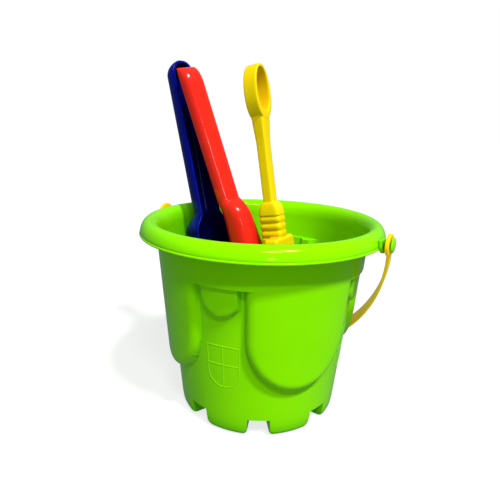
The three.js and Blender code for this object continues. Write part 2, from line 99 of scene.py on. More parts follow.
# ---- ears and pegs: sizes ----
EAR_HALF_WIDTH = 5.6
EAR_THICKNESS = 2.6
EAR_CENTRE = 95.2
EAR_LEAN = 9.0
EAR_SPAN = (-1.0, 3.0)  # from the centre of its round end to its top, about the pivot
EAR_ROUNDING = 0.8
PEG_ROOT = 92.0
PEG_RADIUS = 3.0
PEG_HEAD_RADIUS = 5.6
PEG_HEAD_INNER = 102.0
PEG_HEAD_OUTER = 103.9

# ---- handle: sizes ----
PIVOT_HEIGHT = 146.6
HANDLE_HANG = 57.0
EYE_CENTRE = 100.0
EYE_OUTER_RADIUS = 7.8
EYE_HOLE_RADIUS = 3.4
HANDLE_REACH = 149.0
HANDLE_CURVE = 1.62
STRAP_THICKNESS = 2.4
STRAP_SQUARENESS = 0.32
EYE_ROUNDING = 0.5
STRAP_END_WIDTH, STRAP_GRIP_WIDTH = 8.0, 14.0

# ---- tools: sizes, the same as the CAD solids ----
TOOL_WALL = 2.0
EDGE_DROP = 0.6
SECTION_POWER = 2 / 3  # 1 would make a half ellipse; less makes it squarer
NECK_POWER = 2.8
NECK_FLARE = 30.0
SCOOP = {
    "tip": (-20.5, 3.2, 18.6), "top": (-82.6, 3.2, 272.8), "facing": (-0.985, 0.174, 0),
    "neck": (116, 136), "head": (27, 25, 0), "grip": (11, 15), "top_rise": 13.5, "squareness": 0.15,
    "tip_rounding": 22, "top_rounding": 11, "shoulder": (19.5, 122, 138),
}
SHOVEL = {
    "tip": (6, 22.3, 18.4), "top": (-71, -6.2, 265.8), "facing": (0.983, -0.182, 0),
    "neck": (130, 151), "head": (13.5, 16.5, 3), "grip": (9.5, 10.3), "top_rise": 9.8, "squareness": 0.92,
    "tip_rounding": 26, "top_rounding": 15, "shoulder": (9.5, 130, 151),
}
RAKE = {"tip": (24.7, 13, 20.4), "top": (-18.85, 12.8, 268.2), "facing": (1, 0, 0)}


# ---- meshes from grids of points ----
class Surface:
    """Points and faces of one closed piece, gathered from grids."""

    def __init__(self):
        self.points = []
        self.faces = []
        self.count = 0

    def grid(self, points):
        """points[row][column] is a place. Columns close on themselves; rows run from one end to the other."""
        points = np.asarray(points, float)
        rows, columns = points.shape[:2]
        index = self.count + np.arange(rows * columns).reshape(rows, columns)
        self.points.append(points.reshape(-1, 3))
        self.count += rows * columns
        after = np.roll(index, -1, axis=1)
        quads = np.stack([index[:-1], after[:-1], after[1:], index[1:]], axis=-1).reshape(-1, 4)
        self.faces.extend(quads.tolist())
        return index

    def join(self, low, high):
        """Joins two rings of point numbers, such as the last row of a grid and its first."""
        quads = np.stack([low, np.roll(low, -1), np.roll(high, -1), high], axis=-1)
        self.faces.extend(quads.tolist())

    def fan(self, ring, centre, flip=False):
        """Closes a ring of point numbers to one middle point."""
        self.points.append(np.asarray([centre], float))
        middle = self.count
        self.count += 1
        after = np.roll(ring, -1)
        for a, b in zip(ring.tolist(), after.tolist()):
            self.faces.append((b, a, middle) if flip else (a, b, middle))

    def add(self, other, matrix=None):
        """Takes in another surface, moved by a matrix."""
        points = np.concatenate(other.points)
        if matrix is not None:
            turned = np.asarray(matrix.to_3x3()) @ points.T
            points = turned.T + np.asarray(matrix.translation)
        self.points.append(points)
        self.faces.extend([tuple(i + self.count for i in face) for face in other.faces])
        self.count += len(points)

    def mesh(self, name, crease=40):
        mesh = bpy.data.meshes.new(name)
        mesh.from_pydata((np.concatenate(self.points) * MM).tolist(), [], self.faces)
        mesh.validate()
        merge_close_points(mesh)
        mesh.shade_smooth()
        mesh.set_sharp_from_angle(angle=math.radians(crease))
        return mesh


def merge_close_points(mesh, distance=2e-6):
    work = bmesh.new()
    work.from_mesh(mesh)
    bmesh.ops.remove_doubles(work, verts=work.verts, dist=distance)
    bmesh.ops.dissolve_degenerate(work, edges=work.edges, dist=distance / 2)
    bmesh.ops.recalc_face_normals(work, faces=work.faces)
    work.to_mesh(mesh)
    work.free()


def show(name, mesh, material, body, node):
    """Puts a mesh in the scene as a piece that rides on a CAD body."""
    piece = bpy.data.objects.new(name, mesh)
    bpy.context.scene.collection.objects.link(piece)
    mesh.materials.clear()
    mesh.materials.append(material)
    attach(piece, body)
    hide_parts(node)


def smoothstep(value, low, high):
    t = np.clip((value - low) / (high - low), 0, 1)
    return t * t * (3 - 2 * t)


def smooth_max(a, b, reach):
    blend = np.clip(0.5 + 0.5 * (a - b) / reach, 0, 1)
    return b + (a - b) * blend + reach * blend * (1 - blend)


def around(angle, radius, height):
    """Places at angles in degrees round the bucket's axis."""
    turn = np.radians(angle)
    return np.stack(np.broadcast_arrays(radius * np.cos(turn), radius * np.sin(turn), height), axis=-1)


# ---- bucket: the wall ----
def from_nearest(angle, first, count):
    """Degrees from the nearest of count places round the bucket."""
    step = 360 / count
    return (angle - first + step / 2) % step - step / 2


def strip_depth(across, height, half, centre):
    """How far a place is inside a strip that hangs down to a round lower end."""
    return half - np.hypot(across, np.minimum(height - centre, 0))


def quarter_round(depth, run):
    t = np.clip(depth / run, 0, 1)
    return np.sqrt(1 - (1 - t) ** 2)


def wall_radius(angle, height, inset=0.0):
    """Radius of the wall's outside, or of its inside where inset is the wall's thickness."""
    recess = RECESS_BASE_RADIUS + RECESS_TAPER * height
    proud = BAND_BASE_RADIUS + BAND_TAPER * height - recess
    tongue_across = np.radians(from_nearest(angle, TONGUE_ANGLE, 4)) * TONGUE_RADIUS
    tongue = strip_depth(tongue_across, height, TONGUE_HALF_WIDTH - inset, TONGUE_CENTRE_HEIGHT)
    awning_across = np.radians(from_nearest(angle, DOOR_ANGLE, 4)) * AWNING_RADIUS
    awning = strip_depth(awning_across, height, AWNING_HALF_WIDTH - inset, AWNING_CENTRE_HEIGHT)
    ledge = BAND_BOTTOM + LEDGE_INSET * inset
    band = smoothstep(height, ledge - LEDGE_ROUNDING, ledge + LEDGE_ROUNDING)
    raised = proud * smooth_max(quarter_round(tongue, TONGUE_SIDE_RUN), band, LEDGE_BLEND)
    pad = AWNING_PROUD * quarter_round(awning, AWNING_SIDE_RUN)
    raised = np.minimum(smooth_max(raised, pad, AWNING_BLEND), proud)
    return recess + raised - inset


# ---- bucket: feet ----
def foot_sides():
    """Columns across one foot, from its middle to the middle of the next gap: degrees, and how much of
    the foot's height is there."""
    step = 360 / FOOT_COUNT
    gap_half = math.degrees(FOOT_GAP / 2 / FOOT_RADIUS)
    edge = step / 2 - gap_half
    draft = math.degrees(FOOT_DRAFT / FOOT_RADIUS)
    corner = math.degrees(FOOT_SIDE_ROUNDING / FOOT_RADIUS)
    columns = []
    for turn in np.linspace(0, 0.5 * math.pi, 7)[1:]:
        bottom = FOOT_SIDE_ROUNDING * (1 - math.cos(turn))
        columns.append((edge - corner + corner * math.sin(turn), 1 - bottom / FLOOR_UNDERSIDE))
    corner_depth = 1 - FOOT_SIDE_ROUNDING / FLOOR_UNDERSIDE
    for part in (0.72, 0.44, 0.2):
        columns.append((edge + draft * (1 - part), corner_depth * part))
    fillet = math.degrees(FOOT_FILLET / FOOT_RADIUS)
    for turn in (0.35, 0.75, 1.15, 0.5 * math.pi):
        rise = FOOT_FILLET * (1 - math.sin(turn)) / FLOOR_UNDERSIDE
        columns.append((edge + draft + fillet * (1 - math.cos(turn)), rise))
    return columns, edge - corner, edge + draft + fillet


def bucket_columns():
    """Angles of the bucket's columns, and how much of a foot's height each one has."""
    sides, flat_end, gap_start = foot_sides()
    step = 360 / FOOT_COUNT
    flat = [(a, 1.0) for a in np.arange(0, flat_end, COLUMN_SPACING)]
    gap = [(a, 0.0) for a in np.arange(gap_start + COLUMN_SPACING / 2, step / 2 + 0.01, COLUMN_SPACING)]
    half = flat + sides + gap
    turn = [(-a, depth) for a, depth in reversed(half) if a > 0 and a < step / 2 - 0.01]
    whole = [(step * i + a + FOOT_ANGLE, depth) for i in range(FOOT_COUNT) for a, depth in turn + half]
    return np.array([a for a, _ in whole]), np.array([depth for _, depth in whole])


def lip_profile():
    """The rolled rim from inside to outside, then back up under it, as (radius, height)."""
    middle = (LIP_INNER_RADIUS + LIP_OUTER_RADIUS) / 2
    reach = (LIP_OUTER_RADIUS - LIP_INNER_RADIUS) / 2
    rise = CREST_HEIGHT - LIP_HEIGHT
    turns = np.linspace(0.06, 0.94, 22) * math.pi
    outside = [(middle - reach * math.cos(t), LIP_HEIGHT + rise * math.sin(t)) for t in turns]
    bead_middle = (LIP_RADIUS - BEAD_RADIUS, LIP_HEIGHT + 0.4)
    bead = [
        (bead_middle[0] + BEAD_RADIUS * math.cos(t), bead_middle[1] + BEAD_RADIUS * math.sin(t))
        for t in np.linspace(0.42, -0.9, 9) * math.pi
    ]
    inside = [
        (middle - (reach - WALL) * math.cos(t), LIP_HEIGHT + (rise - WALL) * math.sin(t))
        for t in np.linspace(0.93, 0.1, 12) * math.pi
    ]
    return outside + bead + inside


def spread(low, high, step, ledge):
    """Heights from high to low, closer together round the ledge."""
    heights = [z for z in [*np.arange(high, low, -step), low] if abs(z - ledge) > 1.4]
    heights += [ledge + d for d in (1.2, 0.75, 0.5, 0.25, 0, -0.25, -0.5, -0.75, -1.2)]
    return sorted(heights, reverse=True)


def inside_rows(angle):
    """The inside of the wall, from just above the floor up to the rim."""
    ledge = BAND_BOTTOM + LEDGE_INSET * WALL
    heights = spread(FLOOR_TOP + 1, FLARE_START, INNER_ROW, ledge)
    rows = [(wall_radius(angle, z, WALL), z) for z in reversed(heights)]
    start = wall_radius(angle, FLARE_START, WALL)
    flare_rise = LIP_HEIGHT + 1.5 - FLARE_START
    for t in np.linspace(0.2, 0.95, 5):
        rows.append((start + (LIP_INNER_RADIUS - start) * t ** 2, FLARE_START + flare_rise * t))
    return rows


def foot_rows(angle, depth):
    """The feet: down their outside, round the lower corner, across the bottom and up the inner side."""
    outer = wall_radius(angle, FLOOR_UNDERSIDE)
    inner = RECESS_BASE_RADIUS - FOOT_DEPTH
    corner = FOOT_EDGE_ROUNDING
    corner_radius = RECESS_BASE_RADIUS + RECESS_TAPER * corner
    profile = [(wall_radius(angle, z), z) for z in (14.2, 12.2, 10, 7.5)]
    for t in np.linspace(0, 0.5 * math.pi, 7):
        profile.append((corner_radius - corner * (1 - math.cos(t)), corner * (1 - math.sin(t))))
    profile += [(57, 0), (51, 0), (inner + 1.5, 0), (inner + 0.4, 0.4), (inner, 1.5), (inner, 8)]
    rows = [(outer, FLOOR_UNDERSIDE)]
    rows += [(r, FLOOR_UNDERSIDE - (FLOOR_UNDERSIDE - z) * depth) for r, z in profile]
    rows.append((inner, FLOOR_UNDERSIDE))
    return rows


def floor_rows(angle, depth):
    """The floor's top and the pockets of the feet, from the wall to the middle."""
    inner = RECESS_BASE_RADIUS - FOOT_DEPTH
    away = np.abs(from_nearest(angle, FOOT_ANGLE, FOOT_COUNT))
    pocket = np.clip((depth - 0.9) / 0.1, 0, 1) * (away < foot_sides()[1] - 0.8)
    wall_inside = wall_radius(angle, FLOOR_TOP, WALL)
    steps = [(wall_inside - 0.3, 0.0), (wall_inside - 0.8, 0.0), (58.5, 0.85), (56, 1.0)]
    steps += [(inner + 4, 1.0), (inner + 2.4, 0.9), (inner + 2, 0.0)]
    steps += [(r, 0.0) for r in FLOOR_RINGS]
    return [(r, FLOOR_TOP - (FLOOR_TOP - POCKET_BOTTOM) * share * pocket) for r, share in steps]


def bucket_shell():
    """The pail: inside, rim, outside, feet and underside in one grid, then the floor's top in another."""
    angle, depth = bucket_columns()
    rows = inside_rows(angle) + lip_profile()
    outside = spread(FLOOR_UNDERSIDE + 0.8, OUTSIDE_TOP, OUTER_ROW, BAND_BOTTOM)
    rows += [(wall_radius(angle, z), z) for z in outside]
    rows += foot_rows(angle, depth)
    rows += [(r, FLOOR_UNDERSIDE) for r in FLOOR_RINGS]
    shell = Surface()
    index = shell.grid(np.stack([around(angle, r, z) for r, z in rows]))
    floor = np.stack([around(angle, r, z) for r, z in floor_rows(angle, depth)])
    floor_index = shell.grid(floor[::-1])
    shell.join(floor_index[-1], index[0])
    shell.fan(floor_index[0], (0, 0, FLOOR_TOP), flip=True)
    shell.fan(index[-1], (0, 0, FLOOR_UNDERSIDE))
    return shell


# ---- small closed shapes ----
def tube(path, radius, side, up, sides=8):
    """A round rod along a path of places, with two unit directions across it at each place."""
    turns = np.arange(sides) * 2 * math.pi / sides
    cosine, sine = np.cos(turns)[None, :, None], np.sin(turns)[None, :, None]
    ring = radius * (cosine * side[:, None, :] + sine * up[:, None, :])
    rod = Surface()
    index = rod.grid(path[:, None, :] + ring)
    rod.fan(index[0], path[0], flip=True)
    rod.fan(index[-1], path[-1])
    return rod


def on_recess(angle, height, proud):
    """A place on the recessed wall, or proud of it."""
    radius = RECESS_BASE_RADIUS + RECESS_TAPER * height + proud
    turn = math.radians(angle)
    return np.array([radius * math.cos(turn), radius * math.sin(turn), height])


def rounded_box_section(half_x, half_y, power, count=32):
    """A ring of (x, y) round a box with rounded corners."""
    turns = np.arange(count) * 2 * math.pi / count
    c, s = np.cos(turns), np.sin(turns)
    x = half_x * np.sign(c) * np.abs(c) ** power
    y = half_y * np.sign(s) * np.abs(s) ** power
    return np.stack([x, y], axis=-1)


def rounded_edge(outline, outward, low, high, rounding, steps=4):
    """Rings from y low to y high with both edges rounded.

    outline is a ring of (x, z) counter-clockwise; outward is 1 on a plate's outside and -1 round a hole."""
    outline = np.asarray(outline, float)
    ahead = np.roll(outline, -1, axis=0) - np.roll(outline, 1, axis=0)
    ahead /= np.linalg.norm(ahead, axis=1, keepdims=True)
    out = outward * np.stack([ahead[:, 1], -ahead[:, 0]], axis=-1)
    turns = np.linspace(0, 0.5 * math.pi, steps + 1)
    rows = [(rounding * (math.sin(t) - 1), low + rounding * (1 - math.cos(t))) for t in turns]
    rows += [(rounding * (math.cos(t) - 1), high - rounding * (1 - math.sin(t))) for t in turns]
    rings = []
    for shift, y in rows:
        ring = outline + out * shift
        rings.append(np.stack([ring[:, 0], np.full(len(ring), y), ring[:, 1]], axis=-1))
    return rings


def slab(outline, low, high, rounding):
    """A plate with rounded edges and flat faces."""
    plate = Surface()
    index = plate.grid(np.stack(rounded_edge(outline, 1, low, high, rounding)))
    plate.faces.append(tuple(index[0].tolist()))
    plate.faces.append(tuple(index[-1][::-1].tolist()))
    return plate


def ring_slab(outer, hole, low, high, rounding):
    """A plate with a hole. Both rings have the same number of places."""
    loop = rounded_edge(outer, 1, low, high, rounding) + rounded_edge(hole, -1, low, high, rounding)[::-1]
    plate = Surface()
    index = plate.grid(np.stack(loop))
    plate.join(index[-1], index[0])
    return plate


# ---- bucket: door ribs, ears and pegs ----
def unit(vectors):
    return vectors / np.linalg.norm(vectors, axis=1, keepdims=True)


def rib(angle, spots):
    """A fine rib on the recessed wall through spots of (mm across from an angle, height)."""
    turns = [angle + math.degrees(across / DOOR_RADIUS) for across, _ in spots]
    places = np.array([on_recess(turn, height, -RIB_SINK) for turn, (_, height) in zip(turns, spots)])
    outs = [(math.cos(math.radians(turn)), math.sin(math.radians(turn)), -RECESS_TAPER) for turn in turns]
    along = unit(np.gradient(places, axis=0))
    side = unit(np.cross(along, unit(np.array(outs))))
    return tube(places, RIB_RADIUS, side, np.cross(side, along))


def door_ribs(angle):
    """The outline of an arched door with an upright and a crossbar."""
    half, bottom = DOOR_HALF_WIDTH, DOOR_CENTRE_HEIGHT - DOOR_HALF_WIDTH
    sides = np.linspace(DOOR_TOP, DOOR_CENTRE_HEIGHT, 12)
    arc = np.linspace(math.pi, 2 * math.pi, 24)
    outline = [(-half, z) for z in sides]
    outline += [(half * math.cos(t), DOOR_CENTRE_HEIGHT + half * math.sin(t)) for t in arc[1:-1]]
    outline += [(half, z) for z in sides[::-1]]
    top = [(x, DOOR_TOP - DOOR_TOP_SAG * abs(x)) for x in np.linspace(-half, half, 16)]
    upright = [(0, z) for z in np.linspace(DOOR_TOP, bottom, 18)]
    bar = [(x, DOOR_BAR_HEIGHT) for x in np.linspace(-half, half, 16)]
    ribs = Surface()
    for spots in (outline, top, upright, bar):
        ribs.add(rib(angle, spots))
    return ribs


def hanging_strip(half, centre, top, count=24):
    """A ring of (x, z) round a strip with a round lower end, counter-clockwise."""
    arc = np.linspace(math.pi, 2 * math.pi, count)
    ring = [(half * math.cos(t), centre + half * math.sin(t)) for t in arc]
    ring += [(half, z) for z in np.linspace(centre, top, 6)[1:]]
    ring += [(-half, z) for z in np.linspace(top, centre, 6)[:-1]]
    return ring


def lathe(profile, count=40):
    """A closed body turned about the local y axis from (radius, y) places that start and end on the axis."""
    turns = np.arange(count) * 2 * math.pi / count
    cosine, sine = np.cos(turns), np.sin(turns)
    rows = [np.stack([r * cosine, np.full(count, y), r * sine], axis=-1) for r, y in profile[1:-1]]
    body = Surface()
    index = body.grid(np.stack(rows))
    body.fan(index[0], (0, profile[0][1], 0), flip=True)
    body.fan(index[-1], (0, profile[-1][1], 0))
    return body


def ear(side):
    """A plate under the rim, leaning in a little, and its mushroom peg, for the pivot on one side."""
    made = Surface()
    outline = hanging_strip(EAR_HALF_WIDTH, *EAR_SPAN)
    plate = slab(outline, -EAR_THICKNESS / 2, EAR_THICKNESS / 2, EAR_ROUNDING)
    lean = Matrix.Rotation(math.radians(EAR_LEAN), 4, "X")
    made.add(plate, Matrix.Translation((0, EAR_CENTRE, 0)) @ lean)
    turns = np.linspace(0, 1.45, 8)
    head = [(0, PEG_ROOT), (PEG_RADIUS, PEG_ROOT)]
    head += [(PEG_RADIUS, PEG_HEAD_INNER - 0.3), (PEG_RADIUS + 0.4, PEG_HEAD_INNER)]
    head += [(PEG_HEAD_RADIUS - 0.4, PEG_HEAD_INNER), (PEG_HEAD_RADIUS - 0.1, PEG_HEAD_INNER + 0.2)]
    head += [(PEG_HEAD_RADIUS * math.cos(t), PEG_HEAD_INNER + 0.5 + 1.35 * math.sin(t)) for t in turns]
    made.add(lathe(head + [(0, PEG_HEAD_OUTER)]))
    turn = Matrix.Rotation(math.radians(-90 if side > 0 else 90), 4, "Z")
    return made, Matrix.Translation((0, 0, PIVOT_HEIGHT)) @ turn


# ---- handle ----
def strap_middle(turn):
    """The strap's middle line: half of a squared ellipse from one eye to the other."""
    power = 2 / HANDLE_CURVE
    x = np.sign(np.cos(turn)) * EYE_CENTRE * np.abs(np.cos(turn)) ** power
    return np.stack([x, HANDLE_REACH * np.sin(turn) ** power], axis=-1)


def handle():
    """The strap and its two eyes, in the strap's own plane: x along the pivots, y away from them."""
    turns = np.linspace(0.004, math.pi - 0.004, 221)
    middle = strap_middle(turns)
    along = unit(np.gradient(middle, axis=0))
    out = np.stack([along[:, 1], -along[:, 0]], axis=-1)
    widening = smoothstep(middle[:, 1], 0, HANDLE_REACH / 3)
    half = (STRAP_END_WIDTH + (STRAP_GRIP_WIDTH - STRAP_END_WIDTH) * widening) / 2
    section = rounded_box_section(1, 1, STRAP_SQUARENESS, 36)
    rows = []
    for place, direction, width in zip(middle, out, half):
        flat = place[None, :] + section[:, :1] * direction[None, :] * STRAP_THICKNESS / 2
        rows.append(np.concatenate([flat, section[:, 1:] * width], axis=1))
    strap = Surface()
    index = strap.grid(np.stack(rows))
    strap.fan(index[0], (*middle[0], 0), flip=True)
    strap.fan(index[-1], (*middle[-1], 0))
    turns = np.arange(48) * 2 * math.pi / 48
    circle = np.stack([np.cos(turns), np.sin(turns)], axis=-1)
    outer, hole = EYE_OUTER_RADIUS * circle, EYE_HOLE_RADIUS * circle
    for side in (1, -1):
        eye = ring_slab(outer, hole, -STRAP_THICKNESS / 2, STRAP_THICKNESS / 2, EYE_ROUNDING)
        lay = Matrix.Translation((side * EYE_CENTRE, 0, 0)) @ Matrix.Rotation(math.pi / 2, 4, "Z")
        strap.add(eye, lay)
    return strap


# ---- scoop and shovel ----
def tool_matrix(tool):
    """From a tool's own frame, tip at the origin and top up +Z, to its place in the bucket."""
    tip, top, facing = (Vector(tool[k]) for k in ("tip", "top", "facing"))
    up = (top - tip).normalized()
    across = facing.cross(up).normalized()
    back = up.cross(across)
    turn = Matrix((across, back, up)).transposed().to_4x4()
    return Matrix.Translation(tip) @ turn


def tool_length(tool):
    return (Vector(tool["top"]) - Vector(tool["tip"])).length


def channel_stations(tool, length):
    """Heights from the tip to the top, with the share of the full width and of the full bulge there."""
    tip, end = tool["tip_rounding"], tool["top_rounding"]
    neck_bottom, neck_top = tool["neck"]
    ends = np.linspace(0, 0.5 * math.pi, 16)
    stations = [(tip * (1 - math.cos(t)), math.sin(t), math.sin(t)) for t in ends[:-1]]
    straight = np.concatenate([
        np.linspace(tip, neck_bottom, 40)[:-1],
        neck_bottom + (neck_top - neck_bottom) * np.sin(np.linspace(0, 0.5 * math.pi, 28))[:-1],
        np.linspace(neck_top, length - end, 50),
    ])
    stations += [(z, 1.0, 1.0) for z in straight]
    for t in ends[1:]:
        bulge = max(math.cos(t), 0)
        stations.append((length - end * (1 - math.sin(t)), bulge + (1 - bulge) * tool["squareness"], bulge))
    return stations


def channel_size(tool, length, z):
    """Half the width, the rise of the back, and how far the edges sit forward, at a height."""
    half_head, rise_head, forward_head = tool["head"]
    half_grip, rise_grip = tool["grip"]
    neck_bottom, neck_top = tool["neck"]
    half_shoulder, shoulder_bottom, shoulder_top = tool["shoulder"]
    grip = np.clip((z - neck_bottom) / (neck_top - neck_bottom), 0, 1) ** NECK_POWER
    up_grip = np.clip((z - neck_top) / (length - neck_top), 0, 1)
    rise_here = rise_grip + (tool["top_rise"] - rise_grip) * up_grip
    half = half_head + (half_grip - half_head) * smoothstep(z, neck_bottom - NECK_FLARE, neck_top)
    shoulder = half_shoulder + (half_grip - half_shoulder) * smoothstep(z, shoulder_bottom, shoulder_top)
    return max(half, shoulder), rise_head + (rise_here - rise_head) * grip, forward_head * (1 - grip)


def channel(tool, arc=40):
    """A half-round channel handle that widens into a blade or bowl, with rounded edges."""
    length = tool_length(tool)
    turns = np.linspace(0, math.pi, arc + 1)
    cosine = np.sign(np.cos(turns)) * np.abs(np.cos(turns)) ** SECTION_POWER
    sine = np.maximum(np.sin(turns), 0) ** SECTION_POWER
    sine[0] = sine[-1] = 0
    rows = []
    for z, width, bulge in channel_stations(tool, length):
        half, rise, forward = channel_size(tool, length, z)
        inner_z = TOOL_WALL + z * (length - 2 * TOOL_WALL) / length
        across, back = half * width, rise * bulge
        inner_across, inner_back = (half - TOOL_WALL) * width, (rise - TOOL_WALL) * bulge
        level, inner_level = np.full(arc + 1, z), np.full(arc + 1, inner_z)
        outside = np.stack([across * cosine, back * sine + forward, level], axis=-1)
        inside = np.stack([inner_across * cosine, inner_back * sine + forward, inner_level], axis=-1)
        first_edge = rim_edge(outside[-1], inside[-1], width)
        last_edge = rim_edge(inside[0], outside[0], width)
        rows.append(np.concatenate([outside, first_edge, inside[::-1], last_edge]))
    body = Surface()
    index = body.grid(np.stack(rows))
    body.faces.append(tuple(index[-1].tolist()))
    return body


def rim_edge(start, end, size, steps=3):
    """A half-round edge between two places, bulging towards the open side."""
    middle = (start + end) / 2
    reach = (start - end) / 2
    drop = EDGE_DROP * size
    turns = np.linspace(0, math.pi, steps + 2)[1:-1]
    return np.array([middle + reach * math.cos(t) + np.array([0, -drop * math.sin(t), 0]) for t in turns])


# ---- rake: sizes ----
RAKE_LENGTH = tool_length(RAKE)
NECK_TOP, FLARE_TOP = 134.9, 145.9
NECK_WIDTH, NECK_DEPTH = 13.4, 19.0
SHAFT_WIDTH, SHAFT_DEPTH = 9.4, 9.2
RIDGE_PITCH, RIDGE_COUNT, RIDGE_PROUD = 6.0, 3, 1.5
RIDGE_POWER, SIDE_GROOVE, SHAFT_SQUARENESS = 0.8, 0.35, 0.36
COLLAR, COLLAR_WIDTH, COLLAR_DEPTH = 24.0, 12.4, 11.0
RING_HEIGHT, RING_WIDTH, RING_WALL, RING_FOOT, RING_DEPTH = 41.3, 22.8, 2.7, 6.5, 11.4
RING_POWER, RING_TAPER, RING_ROUNDING = 0.9, 0.04, 0.8
HEAD_TOP, HEAD_THICKNESS, HEAD_FORWARD = 117.4, 12.0, 4.0
HEAD_WIDTH, SHOULDER_WIDTH = 50.0, 31.0
HEAD_CORNER, HEAD_ROUNDING = 4.0, 2.2
TINES, TINE_LENGTH, TINE_THICKNESS, TINE_TIP = 5, 52.0, 7.0, 3.0
TINE_TIP_SHARE, TINE_GROWTH = 0.25, 0.2  # half the tine's width as a share of the pitch, and its growth


def rake_shaft():
    """The ridged neck, the flare, the straight shaft and the wider collar under the ring."""
    bottom, top = HEAD_TOP - 4, RAKE_LENGTH - RING_HEIGHT + 3
    heights = np.concatenate([np.arange(bottom, FLARE_TOP + 2, 0.5), np.linspace(FLARE_TOP + 2, top, 60)[1:]])
    rows = []
    for z in heights:
        flare = np.clip((z - NECK_TOP) / (FLARE_TOP - NECK_TOP), 0, 1)
        neck = math.sqrt(1 - flare ** 2)
        widen = smoothstep(z, top - COLLAR, top)
        half_x = (SHAFT_WIDTH + (COLLAR_WIDTH - SHAFT_WIDTH) * widen + (NECK_WIDTH - SHAFT_WIDTH) * neck) / 2
        half_y = (SHAFT_DEPTH + (COLLAR_DEPTH - SHAFT_DEPTH) * widen + (NECK_DEPTH - SHAFT_DEPTH) * neck) / 2
        ridge_bottom = NECK_TOP - RIDGE_COUNT * RIDGE_PITCH
        if ridge_bottom <= z <= NECK_TOP:
            phase = (z - ridge_bottom) / RIDGE_PITCH
            groove = RIDGE_PROUD * (1 - abs(math.sin(math.pi * phase)) ** RIDGE_POWER)
            half_x -= groove
            half_y -= SIDE_GROOVE * groove
        ring = rounded_box_section(half_x, half_y, SHAFT_SQUARENESS, 48)
        rows.append(np.concatenate([ring, np.full((48, 1), z)], axis=1))
    shaft = Surface()
    index = shaft.grid(np.stack(rows))
    shaft.fan(index[0], (0, 0, heights[0]), flip=True)
    shaft.fan(index[-1], (0, 0, heights[-1]))
    return shaft


def rake_ring():
    """The finger ring: an oval with a smaller oval hole nearer to its top."""
    turns = np.arange(96) * 2 * math.pi / 96

    def oval(half, tall, centre):
        c, s = np.cos(turns), np.sin(turns)
        width = half * np.sign(c) * np.abs(c) ** RING_POWER
        return np.stack([width * (1 - RING_TAPER * s), centre + tall * s], axis=-1)

    tall = RING_HEIGHT / 2
    hole_tall = (RING_HEIGHT - RING_WALL - RING_FOOT) / 2
    outer = oval(RING_WIDTH / 2, tall, RAKE_LENGTH - tall)
    hole = oval(RING_WIDTH / 2 - RING_WALL, hole_tall, RAKE_LENGTH - RING_WALL - hole_tall)
    return ring_slab(outer, hole, -RING_DEPTH / 2, RING_DEPTH / 2, RING_ROUNDING)


def rake_tine(middle, root):
    """A tine with a round tip that widens upwards and runs a little way into the plate."""
    top = TINE_LENGTH + TINE_TIP
    rows = []
    for z in np.linspace(0, top, 40):
        end = math.sqrt(max(1 - (1 - min(z / TINE_TIP, 1)) ** 2, 0.003))
        width = (TINE_TIP_SHARE + TINE_GROWTH * z / TINE_LENGTH) * root * end
        ring = rounded_box_section(width, TINE_THICKNESS / 2 * end, 0.5, 24)
        rows.append(np.concatenate([ring + (middle, 0), np.full((24, 1), z)], axis=1))
    tine = Surface()
    index = tine.grid(np.stack(rows))
    tine.fan(index[0], (middle, 0, 0), flip=True)
    tine.fan(index[-1], (middle, 0, top))
    return tine


def rake_head():
    """The sloping plate of the head and its tapered tines."""
    half, shoulder, corner = HEAD_WIDTH / 2, SHOULDER_WIDTH / 2, HEAD_CORNER
    side_top = HEAD_TOP - corner
    arc = np.linspace(0, 0.5 * math.pi, 8)
    side = [
        (half + (shoulder - half) * t, TINE_LENGTH + (side_top - TINE_LENGTH) * t)
        for t in np.linspace(0, 1, 16)[1:-1]
    ]
    side += [(shoulder - corner + corner * math.cos(t), side_top + corner * math.sin(t)) for t in arc]
    outline = [(x, TINE_LENGTH) for x in np.linspace(-half, half, 30)] + side
    outline += [(x, HEAD_TOP) for x in np.linspace(shoulder - corner, corner - shoulder, 14)[1:-1]]
    outline += [(-x, z) for x, z in reversed(side)]
    head = slab(outline, -HEAD_THICKNESS / 2, HEAD_THICKNESS / 2, HEAD_ROUNDING)
    root = HEAD_WIDTH / TINES
    for i in range(TINES):
        head.add(rake_tine(root * (i + 0.5) - half, root))
    moved = Surface()
    moved.add(head, Matrix.Translation((0, HEAD_FORWARD, 0)))
    return moved


def fused(name, surface, voxel, smoothing, matrix):
    """One skin round overlapping closed shapes, with a small fillet where they meet."""
    source = bpy.data.objects.new(name + "_parts", surface.mesh(name + "_parts"))
    bpy.context.scene.collection.objects.link(source)
    remesh = source.modifiers.new("skin", "REMESH")
    remesh.mode = "VOXEL"
    remesh.voxel_size = voxel * MM
    soften = source.modifiers.new("soften", "SMOOTH")
    soften.factor = 0.5
    soften.iterations = smoothing
    bpy.context.view_layer.update()
    evaluated = source.evaluated_get(bpy.context.evaluated_depsgraph_get())
    mesh = bpy.data.meshes.new_from_object(evaluated)
    bpy.data.objects.remove(source)
    mesh.name = name
    lift = matrix.copy()
    lift.translation = lift.translation * MM
    mesh.transform(lift)
    mesh.shade_smooth()
    return mesh


# ---- materials ----
def noise(nodes, links, vector, scale, detail=3.0):
    node = nodes.new("ShaderNodeTexNoise")
    node.inputs["Scale"].default_value = scale
    node.inputs["Detail"].default_value = detail
    links.new(vector, node.inputs["Vector"])
    return node.outputs["Fac"]


def ramp(nodes, links, value, low, high, from_low=0.3, from_high=0.7):
    node = nodes.new("ShaderNodeMapRange")
    node.inputs["From Min"].default_value = from_low
    node.inputs["From Max"].default_value = from_high
    node.inputs["To Min"].default_value = low
    node.inputs["To Max"].default_value = high
    links.new(value, node.inputs["Value"])
    return node.outputs["Result"]


